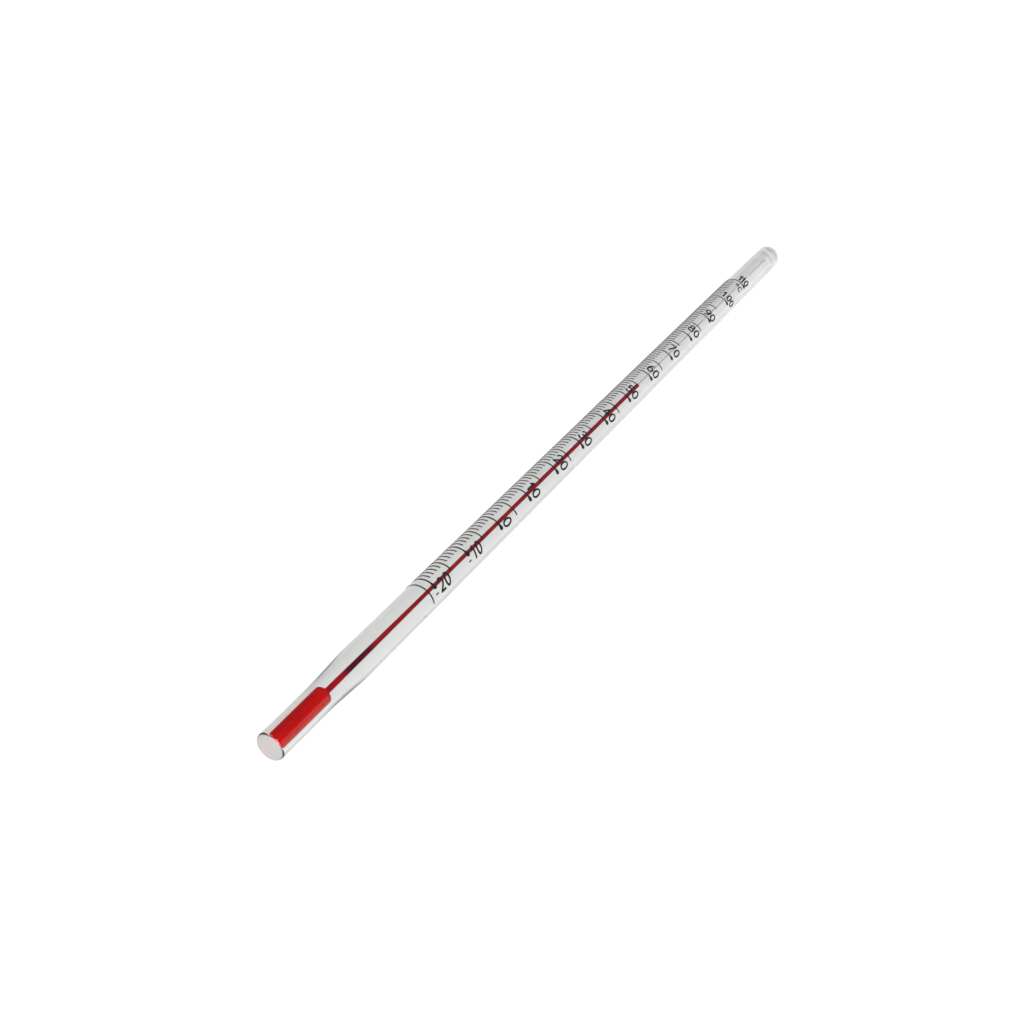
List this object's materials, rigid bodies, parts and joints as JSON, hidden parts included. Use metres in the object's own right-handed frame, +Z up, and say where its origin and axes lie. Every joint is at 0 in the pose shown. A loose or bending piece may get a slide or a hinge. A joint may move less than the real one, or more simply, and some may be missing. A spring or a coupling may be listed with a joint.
{
  "type": "glass thermometer",
  "caption": "Slim solid-stem glass thermometer lying on its side, with a red spirit column that rises from a narrow bulb past a printed degree scale.",
  "frame": {"origin": "on the surface it lies on, under the stem's axis, half-way along its length", "axes": "+X along the stem from the bulb to the sealed top; +Z up from the surface it lies on; the scale faces up and towards -Y"},
  "size_m": [0.2496, 0.0072, 0.0071],
  "materials": {
    "clear_glass": "clear polished glass",
    "red_spirit": "dyed spirit seen through glass",
    "black_print": "fired black enamel print",
    "grey_print": "thin fired enamel print"
  },
  "bodies": {
    "glass": {"bulb_glass": "clear_glass", "capillary_stem": "clear_glass", "end_seal": "clear_glass", "reservoir_spirit": "red_spirit", "spirit_thread": "red_spirit", "minor_graduations": "black_print", "five_degree_graduations": "black_print", "ten_degree_graduations": "black_print", "scale_base_ring": "black_print", "numeral_minus_20": "black_print", "numeral_minus_10": "black_print", "numeral_0": "black_print", "numeral_10": "black_print", "numeral_20": "black_print", "numeral_30": "black_print", "numeral_40": "black_print", "numeral_50": "black_print", "numeral_60": "black_print", "numeral_70": "black_print", "numeral_80": "black_print", "numeral_90": "black_print", "numeral_100": "black_print", "numeral_110": "black_print", "unit_mark": "grey_print"},
    "column_top": {"column_top": "red_spirit"}
  },
  "joints": [
    {"name": "column_rise", "type": "slide", "parent": "glass", "child": "column_top", "axis": [1, 0, 0], "range_m": [-0.09933, 0.06837], "deforming": ["spirit_thread"]}
  ]
}
